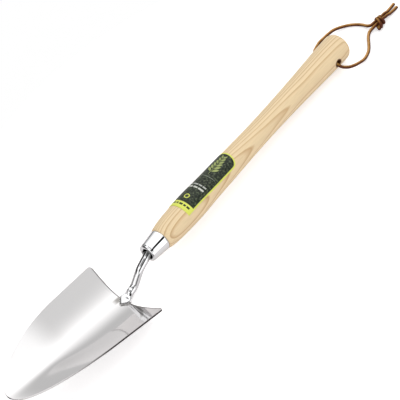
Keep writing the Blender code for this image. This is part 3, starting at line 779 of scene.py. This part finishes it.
# %% Floor
FLOOR_GLOW = 0.50
MIRRORED_SHARE = 0.13
disc = bmesh.new()
bmesh.ops.create_circle(disc, cap_ends=True, radius=0.42, segments=96)
bmesh.ops.translate(disc, verts=disc.verts, vec=(0.04, -0.20, 0.0))
floor = new_object("floor", finished_mesh("floor", disc))
floor_paper, tree, shader = new_material("floor_paper")
rays = tree.add("LightPath").outputs
mirrored = tree.math("MAXIMUM", rays["Is Glossy Ray"], rays["Is Transmission Ray"])
seen = tree.math("MULTIPLY_ADD", mirrored, MIRRORED_SHARE, rays["Is Camera Ray"])
tree.fill(shader, [
    ("Base Color", (0.82, 0.80, 0.80)), ("Roughness", 0.9), ("Specular IOR Level", 0.0),
    ("Emission Color", (1.0, 1.0, 1.0)), ("Emission Strength", tree.times(seen, FLOOR_GLOW)),
])
floor.data.materials.append(floor_paper)
print("floor", floor.dimensions[:])

# %% [markdown]
# ## The light around it
# One large soft light surrounds the tool. Polished steel mirrors it, so it has darker parts, each where one
# piece of the real tool shows a grey or dark stripe. They lie in fixed directions, like dark boards round a
# studio table. The camera sees plain white behind the floor.

# %% Surrounding light
FULL_LIGHT = 1.82
X, Y, Z = 0, 1, 2
# Each darker part: how much darker, then each limit's direction, where it starts and where it is full
DARKER_PARTS = (
    # Low down on the right behind the butt, for the blade's left wing
    (0.45, (Y, 0.10, -0.40), (X, 0.45, 0.75)),
    # Low down on the far side, for the band beside the keel
    (0.57, (Y, 0.0, 0.50), (Z, 0.75, 0.10)),
    (0.85, (Y, 0.0, 0.50), (Z, 0.10, 0.0), (X, 0.50, 0.44)),
    # On the far side beyond the blade, low beyond its tip and on a panel overhead, for the stripes on the bar
    (0.95, (Y, 0.50, 0.70), (X, 0.10, -0.10), (Z, 0.72, 0.60)),
    (0.80, (X, -0.35, -0.65), (Y, 0.15, 0.45), (Z, 0.55, 0.42)),
    (0.80, (X, -0.64, -0.54), (X, -0.08, -0.20), (Y, 0.50, 0.30), (Y, -0.45, -0.30), (Z, 0.30, 0.50)),
    # Low on the right, for the bar's mirror image in the right wing
    (0.70, (X, 0.30, 0.40), (Y, -0.60, -0.75), (Z, 0.50, 0.40)),
    # Low down behind the butt, which draws the rear edge of the blade
    (0.90, (X, 0.82, 0.92), (Z, 0.30, 0.15)),
)
# A narrow dark gap between two light panels, wider toward the tip: the dark line of ferrule and bar
GAP_SIDE = (-0.117, 0.788, 0.604)
world = bpy.data.worlds.new("soft_studio")
bpy.context.scene.world = world
world.use_nodes = True
sky = Tree(world.node_tree)
direction = sky.add("TexCoord").outputs["Generated"]
toward = sky.split(direction)


def dim(level, amount, *shares):
    """The level, lowered by an amount where all shares are 1."""
    return sky.times(level, sky.math("SUBTRACT", 1.0, sky.times(amount, *shares)))


level = FULL_LIGHT
for amount, *limits in DARKER_PARTS:
    level = dim(level, amount, *(sky.step(toward[axis], start, end) for axis, start, end in limits))
beside_gap = sky.math("ABSOLUTE", sky.vector("DOT_PRODUCT", direction, GAP_SIDE))
gap_width = sky.math("MULTIPLY_ADD", sky.step(toward[X], 0.0, -0.8), 0.14, 0.18)
in_gap = sky.step(sky.math("DIVIDE", beside_gap, gap_width), 1.12, 0.80)
above_floor = sky.step(toward[Z], -0.24, -0.16)
gap_ends = sky.times(sky.step(toward[X], 0.72, 0.60), sky.step(toward[X], -0.90, -0.82))
level = dim(level, 0.98, in_gap, gap_ends, above_floor)
# Hardly any light comes from below the floor
level = sky.times(level, sky.math("MULTIPLY_ADD", above_floor, 0.95, 0.05))
to_camera = sky.add("LightPath").outputs["Is Camera Ray"]
shown = sky.math("MULTIPLY_ADD", to_camera, sky.math("SUBTRACT", 1.0, level), level)
sky.fill(sky.nodes["Background"], [("Color", (1.0, 1.0, 1.0)), ("Strength", shown)])
print("studio light with", len(DARKER_PARTS), "darker parts and a gap")

# %% [markdown]
# ## Polished steel
# Blade, neck, weld and ferrule are stainless steel, polished to different degrees. Polishing leaves fine
# marks along the direction of work. They are one node group with a fineness, a stretch and a roughness,
# which every steel uses with its own values.

# %% Group: polishing marks
POLISHING_MARKS, tree, given, made = new_group(
    "polishing_marks", ("Place", "Fineness", "Stretch", "Roughness", "Unevenness"), ("Height", "Roughness"),
)
squeeze = tree.add("CombineXYZ", [(0, given["Stretch"]), (1, 1.0), (2, 1.0)]).outputs[0]
marks = tree.noise(tree.vector("MULTIPLY", given["Place"], squeeze), given["Fineness"], 3.0)
cloud = tree.noise(given["Place"], 45.0, 2.0)
uneven = tree.math("SUBTRACT", tree.math("ADD", marks, cloud), 1.0)
tree.put(made["Height"], marks)
tree.put(made["Roughness"], tree.math("MULTIPLY_ADD", uneven, given["Unevenness"], given["Roughness"]))
print("group", POLISHING_MARKS.name)

# %% Materials: steels
# Piece, name, frame, colour, then roughness, fineness, stretch, unevenness and depth of the marks
STEELS = (
    (blade, "blade_steel", BLADE_PLACE, (0.635, 0.625, 0.625), 0.08, 1400.0, 0.02, 0.05, 0.00001),
    (blade, "cut_edge_steel", BLADE_PLACE, (0.56, 0.55, 0.55), 0.30, 1400.0, 0.30, 0.10, 0.00004),
    (neck, "neck_steel", BLADE_PLACE, (0.65, 0.65, 0.66), 0.06, 900.0, 0.05, 0.04, 0.00001),
    (weld_fillet, "dressed_weld_steel", BLADE_PLACE, (0.80, 0.79, 0.78), 0.48, 1500.0, 0.6, 0.12, 0.00006),
    (ferrule, "ferrule_steel", HANDLE_PLACE, (0.70, 0.70, 0.71), 0.05, 700.0, 0.10, 0.02, 0.000005),
)


def steel(name, place, colour, roughness, fineness, stretch, unevenness, depth):
    """A steel that shows its own degree of polish."""
    material, tree, shader = new_material(name)
    marks = tree.add("Group", [
        ("Place", tree.in_frame(place)), ("Fineness", fineness), ("Stretch", stretch),
        ("Roughness", roughness), ("Unevenness", unevenness),
    ], node_tree=POLISHING_MARKS).outputs
    tree.fill(shader, [
        ("Metallic", 1.0), ("Base Color", colour), ("Roughness", marks["Roughness"]),
        ("Normal", tree.bump(marks["Height"], 0.25, depth)),
    ])
    return material


for piece, *values in STEELS:
    piece.data.materials.append(steel(*values))
print("steels", [values[1] for values in STEELS])

# %% [markdown]
# ## Painted shade, reflections and highlight in the steel
# The bar has painted shade where it goes into the ferrule and on the flanks of its foot. A painted dark
# reflection line runs along the blade's rear edge, and its sheared edge has painted dark reflection at
# the rear and on the right. A painted highlight lightens the left wing toward the tip. Each place is a
# zone between limits along some directions of the blade's frame, where another colour is mixed in.

# %% Places with another colour
ALONG, ACROSS, UP = (1.0, 0.0, 0.0), (0.0, 1.0, 0.0), (0.0, 0.0, 1.0)
FOOT_FLANK = (-0.81, 1.0, 0.0)


def tint(tree, share, colour):
    """Mix a colour into what a material's base colour has so far."""
    base = tree.nodes["Principled BSDF"].inputs["Base Color"]
    before = base.links[0].from_socket if base.links else tuple(base.default_value)[:3]
    tree.put(base, tree.mix(share, before, colour))


def recolour(material_name, colour, *zones):
    """Another colour where any zone is. A zone's limits are (direction, start, end)."""
    tree = Tree(bpy.data.materials[material_name].node_tree)
    place = tree.in_frame(BLADE_PLACE)
    share = 0.0
    for limits in zones:
        inside = 1.0
        for direction, start, end in limits:
            inside = tree.times(tree.step(tree.vector("DOT_PRODUCT", place, direction), start, end), inside)
        share = tree.math("MAXIMUM", inside, share)
    tint(tree, share, colour)


# A painted highlight on the left wing, lighter toward its tip
recolour("blade_steel", (0.86, 0.85, 0.85), [(ALONG, -0.072, -0.104), (ACROSS, 0.0, 0.014)])
# Painted shade on the bar's upper end, on the left flank of its foot and on the foot's front flank
recolour(
    "neck_steel", (0.20, 0.20, 0.20),
    [(ALONG, 0.0232, 0.0262)],
    [(ACROSS, 0.0034, 0.0043), (UP, 0.0040, 0.0026)],
    [(FOOT_FLANK, 0.0041, 0.0050), (ALONG, 0.0, -0.0015)],
)
# A painted dark reflection line along the rear edge
recolour("blade_steel", (0.13, 0.12, 0.12), [(ALONG, -0.0016, -0.0005)])
# Painted dark reflection on the sheared edge, at its rear and on its right side
recolour(
    "cut_edge_steel", (0.07, 0.06, 0.06),
    [(ALONG, -0.008, -0.001)],
    [(ALONG, -0.150, -0.050), (ACROSS, 0.006, -0.006)],
)
print("steel recoloured in places")

# %% [markdown]
# ## Painted reflections beside the foot
# A small grey patch left of the foot and a curved band out over the right wing are painted dark
# reflections of the neck and its foot in the polished blade. The band follows a parabola, and its grey
# fades with the distance from that curve.

# %% Painted reflections beside the foot
REFLECTION_BAND_FROM = 0.008
REFLECTION_BAND_BOW = 33.0
REFLECTION_BAND_WIDTH = (0.0034, 0.0010)
REFLECTION_BAND_START, REFLECTION_BAND_END = (-0.001, 0.001), (0.0235, 0.0190)
# A painted dark reflection of the foot: a grey patch left of it
recolour("blade_steel", (0.24, 0.23, 0.22), [
    (ALONG, -0.0125, -0.0045), (ALONG, 0.0005, -0.0015), (ACROSS, 0.0085, 0.0060), (ACROSS, 0.0022, 0.0036),
])
# A painted dark reflection of the bar: a grey band curving out over the right wing
tree = Tree(bpy.data.materials["blade_steel"].node_tree)
along, across, _ = tree.split(tree.in_frame(BLADE_PLACE))
aside = tree.math("MULTIPLY_ADD", across, -1.0, -REFLECTION_BAND_FROM)
off_reflection_band = tree.math("ABSOLUTE", tree.math("ADD", along, tree.times(aside, aside, REFLECTION_BAND_BOW)))
painted_reflection_band = tree.times(
    tree.step(off_reflection_band, *REFLECTION_BAND_WIDTH), tree.step(aside, *REFLECTION_BAND_START), tree.step(aside, *REFLECTION_BAND_END),
)
tint(tree, painted_reflection_band, (0.34, 0.33, 0.32))
print("painted reflection band from", 1000 * REFLECTION_BAND_FROM, "mm beside the keel")

# %% [markdown]
# ## Ash wood
# Ash is ring porous: each year starts with a row of open pores, which reads as a darker line. The handle
# was cut beside the middle of the tree, so the rings are near planes on one side and meet the turned
# surface as arches on the other. They are computed from the distance to the tree's middle, so the lines,
# the arches and the end grain at the butt all come from one rule.

# %% Material: ash
RING_WIDTH = 0.0021
TREE_MIDDLE = (0.0, 0.0408, -0.0322)
TREE_LEAN = 0.036
RING_DRIFT = 0.0028
PALE_WOOD, WARM_WOOD = (0.79, 0.64, 0.40), (0.73, 0.555, 0.335)
RING_COLOUR, PORE_COLOUR = (0.43, 0.225, 0.080), (0.42, 0.24, 0.10)
# How dark a year's wood is, from its row of open pores to its end
EARLY_WOOD = ((0.0, 1.0), (0.07, 0.70), (0.30, 0.12), (0.88, 0.0), (1.0, 1.0))


def ash_material():
    """Growth rings, pores and fibres of ash under a satin lacquer."""
    material, tree, shader = new_material("ash_satin")
    where = tree.in_frame(HANDLE_PLACE)
    x, y, z = tree.split(where)
    drift = tree.noise(tree.vector("MULTIPLY", where, (9.0, 45.0, 45.0)), 1.0, 2.0)
    # Distance from the tree's middle, which runs a little askew below the handle
    across_tree = tree.vector("MULTIPLY", where, (0.0, 1.0, 1.0))
    away = tree.vector("DISTANCE", across_tree, TREE_MIDDLE)
    away = tree.math("MULTIPLY_ADD", x, -TREE_LEAN, away)
    away = tree.math("MULTIPLY_ADD", drift, RING_DRIFT, away)
    year = tree.math("DIVIDE", away, RING_WIDTH)
    early = tree.ramp(tree.math("FRACT", year), [(place, (v, v, v)) for place, v in EARLY_WOOD])
    own_year = tree.add("TexWhiteNoise", [("W", tree.math("FLOOR", year))], noise_dimensions="1D")
    dark = tree.times(early, tree.math("MULTIPLY_ADD", own_year.outputs["Value"], 0.5, 0.5))
    fibre_place = tree.vector("MULTIPLY", where, (0.035, 1.0, 1.0))
    fibres = tree.noise(fibre_place, 1500.0, 3.0)
    pores = tree.times(tree.step(fibres, 0.56, 0.66), early)
    wood = tree.mix(tree.noise(fibre_place, 26.0, 1.0), PALE_WOOD, WARM_WOOD)
    wood = tree.mix(tree.times(dark, 0.92), wood, RING_COLOUR)
    wood = tree.vector("MULTIPLY", wood, tree.math("MULTIPLY_ADD", fibres, 0.30, 0.85))
    wood = tree.mix(tree.times(pores, 0.35), wood, PORE_COLOUR)
    # Dark on the spigot, where light never comes, and painted shade inside the lace hole and round its mouth
    wood = tree.mix(tree.step(x, 0.0002, 0.0), wood, (0.02, 0.015, 0.01))
    off_x = tree.math("SUBTRACT", x, HOLE_X)
    off_side = tree.times(y, math.cos(HOLE_TURN))
    off_side = tree.math("MULTIPLY_ADD", z, math.sin(HOLE_TURN), off_side)
    off_hole = tree.math("MULTIPLY_ADD", off_side, off_side, tree.times(off_x, off_x))
    off_hole = tree.math("SQRT", off_hole)
    wood = tree.mix(tree.step(off_hole, 0.0050, 0.0038), wood, (0.10, 0.035, 0.010))
    tree.fill(shader, [
        ("Base Color", wood), ("Roughness", tree.math("MULTIPLY_ADD", pores, 0.2, 0.42)),
        ("Specular IOR Level", 0.4), ("Normal", tree.bump(tree.times(pores, -1.0), 0.35, 0.00005)),
    ])
    return material


handle.data.materials.clear()
handle.data.materials.append(ash_material())
print("ash rings", 1000 * RING_WIDTH, "mm apart")

# %% [markdown]
# ## The label's print
# The film has a dark green field with a yellow-green border and a band at its foot. The print on it is a
# plain design of its own: a sprig of leaves toward the arch, a thin line, two rows of dashes, a small ring
# and a row of blocks. One node group draws a leaf with a place, a turn and a size, and the sprig uses it
# many times. All distances are centimetres on the film's map.

# %% Group: leaf
PRINTED_LEAF, tree, given, made = new_group(
    "printed_leaf", ("Across", "Along", "Leaf Across", "Leaf Along", "Turn", "Half Length", "Half Width"),
    ("Leaf",),
)
across = tree.math("SUBTRACT", given["Across"], given["Leaf Across"])
along = tree.math("SUBTRACT", given["Along"], given["Leaf Along"])
cosine, sine = tree.math("COSINE", given["Turn"]), tree.math("SINE", given["Turn"])
lengthwise = tree.math("MULTIPLY_ADD", along, cosine, tree.times(across, sine))
sideways = tree.math("SUBTRACT", tree.times(across, cosine), tree.times(along, sine))
sideways = tree.math("ABSOLUTE", sideways)
reach = tree.math("DIVIDE", lengthwise, given["Half Length"])
room = tree.times(tree.math("SUBTRACT", 1.0, tree.times(reach, reach)), given["Half Width"])
leaf_body = tree.step(tree.math("SUBTRACT", room, sideways), -0.008, 0.012)
tree.put(made["Leaf"], tree.times(leaf_body, tree.step(sideways, 0.004, 0.016)))
print("group", PRINTED_LEAF.name)

# %% Material: label print
TRIM, LEAF_GREEN, BLOCK = (0.66, 0.71, 0.12), (0.36, 0.42, 0.14), (0.03, 0.04, 0.02)
FIELD = ((0.36, (0.008, 0.012, 0.007)), (0.52, (0.026, 0.034, 0.022)), (0.66, (0.085, 0.105, 0.060)))
# Each leaf of the sprig: its foot on the stalk, its side and turn, and its half length
SPRIG = [(4.95 + 0.36 * k, side, 0.80 - 0.07 * k, 0.36 - 0.024 * k) for k in range(6) for side in (1, -1)]
STALK = (4.60, 7.05, -0.014, 0.014)
# Rows of printed bars: from and to along the film, colour, and from and to across it
PRINTED_ROWS = (
    (4.28, 4.33, (0.22, 0.25, 0.20), ((-0.95, 0.95),)),
    (3.02, 3.16, (0.52, 0.54, 0.50), ((-0.88, -0.52), (-0.42, -0.10), (0.0, 0.46), (0.56, 0.80))),
    (2.62, 2.80, (0.64, 0.66, 0.60), ((-0.88, -0.30), (-0.20, 0.22), (0.32, 0.95))),
)
ROW_INK = 0.85
BLOCK_ROW = (0.36, 0.56)
BLOCKS = ((-1.02, -0.70), (-0.60, -0.36), (-0.26, 0.10), (0.20, 0.40), (0.50, 0.92))
RING_PLACE, RING_RADIUS, RING_HALF_WIDTH = 1.45, 0.22, 0.045
BAND_END = 0.75


def label_material():
    """Dark field with its border, band and printed signs."""
    material, tree, shader = new_material("label_print")
    across_along = tree.add("UVMap", uv_map="print").outputs[0]
    across, along, _ = tree.split(across_along)
    edge = tree.split(tree.add("UVMap", uv_map="edge").outputs[0])[0]
    colour = tree.ramp(tree.noise(across_along, 5.0, 4.0), FIELD)

    def bar(first, last, left, right):
        """1 on a plain bar between two distances, 0 elsewhere."""
        lengthwise = tree.math("COMPARE", along, 0.5 * (first + last), 0.5 * (last - first))
        sideways = tree.math("COMPARE", across, 0.5 * (left + right), 0.5 * (right - left))
        return tree.times(lengthwise, sideways)

    for foot, side, turn, size in SPRIG:
        leaf = tree.add("Group", [
            ("Across", across), ("Along", along), ("Leaf Across", side * (0.06 + size * math.sin(turn))),
            ("Leaf Along", foot + size * math.cos(turn)), ("Turn", side * turn),
            ("Half Length", size), ("Half Width", 0.34 * size),
        ], node_tree=PRINTED_LEAF)
        colour = tree.mix(leaf.outputs["Leaf"], colour, LEAF_GREEN)
    colour = tree.mix(bar(*STALK), colour, LEAF_GREEN)
    for first, last, tone, bars in PRINTED_ROWS:
        for left, right in bars:
            colour = tree.mix(tree.times(bar(first, last, left, right), ROW_INK), colour, tone)
    from_ring = tree.math("SUBTRACT", along, RING_PLACE)
    from_ring = tree.math("MULTIPLY_ADD", across, across, tree.times(from_ring, from_ring))
    ring = tree.math("COMPARE", tree.math("SQRT", from_ring), RING_RADIUS, RING_HALF_WIDTH)
    colour = tree.mix(ring, colour, TRIM)
    colour = tree.mix(tree.math("LESS_THAN", along, BAND_END), colour, TRIM)
    for left, right in BLOCKS:
        colour = tree.mix(bar(*BLOCK_ROW, left, right), colour, BLOCK)
    colour = tree.mix(tree.step(edge, 0.150, 0.125), colour, TRIM)
    tree.fill(shader, [("Base Color", colour), ("Roughness", 0.38), ("Specular IOR Level", 0.18)])
    return material


label.data.materials.append(label_material())
print("label print with", len(SPRIG), "leaves")

# %% [markdown]
# ## Waxed leather
# The lace is cut from a hide and waxed. Its colour holds painted light and shade: light tan where it faces
# up and to the left as the loop lies, dark brown where it faces away, so the colour follows the direction
# that each point of the lace faces, with uneven dye from a noise. Near the knot it is darker, and a fine
# bump gives the grain.

# %% Material: leather
LIT_SIDE = (-0.066, 0.466, 0.882)
LEATHER_LIT_AND_SHADED_TONES = (
    (0.60, (0.075, 0.014, 0.002)), (0.70, (0.13, 0.038, 0.005)), (0.80, (0.27, 0.125, 0.022)),
    (0.89, (0.39, 0.20, 0.042)), (0.97, (0.52, 0.28, 0.10)),
)


def leather_material():
    """Waxed leather with painted light and shade, light where it faces up and left, dark facing away."""
    material, tree, shader = new_material("waxed_leather")
    where = tree.add("TexCoord").outputs
    dye = tree.noise(where["Object"], 160.0, 3.0)
    grain = tree.noise(where["Object"], 2400.0, 4.0)
    # Painted light and shade: how far each point faces the lit side sets its tone
    facing_light = tree.vector("DOT_PRODUCT", where["Normal"], LIT_SIDE)
    uneven = tree.math("MULTIPLY_ADD", grain, 0.20, -0.25)
    uneven = tree.math("MULTIPLY_ADD", dye, 0.30, uneven)
    from_knot = tree.vector("DISTANCE", where["Object"], KNOT.translation)
    uneven = tree.math("MULTIPLY_ADD", tree.step(from_knot, 0.0150, 0.0080), -0.16, uneven)
    tone = tree.math("ADD", tree.math("MULTIPLY_ADD", facing_light, 0.5, 0.5), uneven)
    tree.fill(shader, [
        ("Base Color", tree.ramp(tone, LEATHER_LIT_AND_SHADED_TONES)), ("Roughness", 0.55), ("Specular IOR Level", 0.22),
        ("Normal", tree.bump(grain, 0.4, 0.00008)),
    ])
    return material


leather = leather_material()
for piece in lace_pieces:
    piece.data.materials.append(leather)
print("leather on", len(lace_pieces), "pieces")
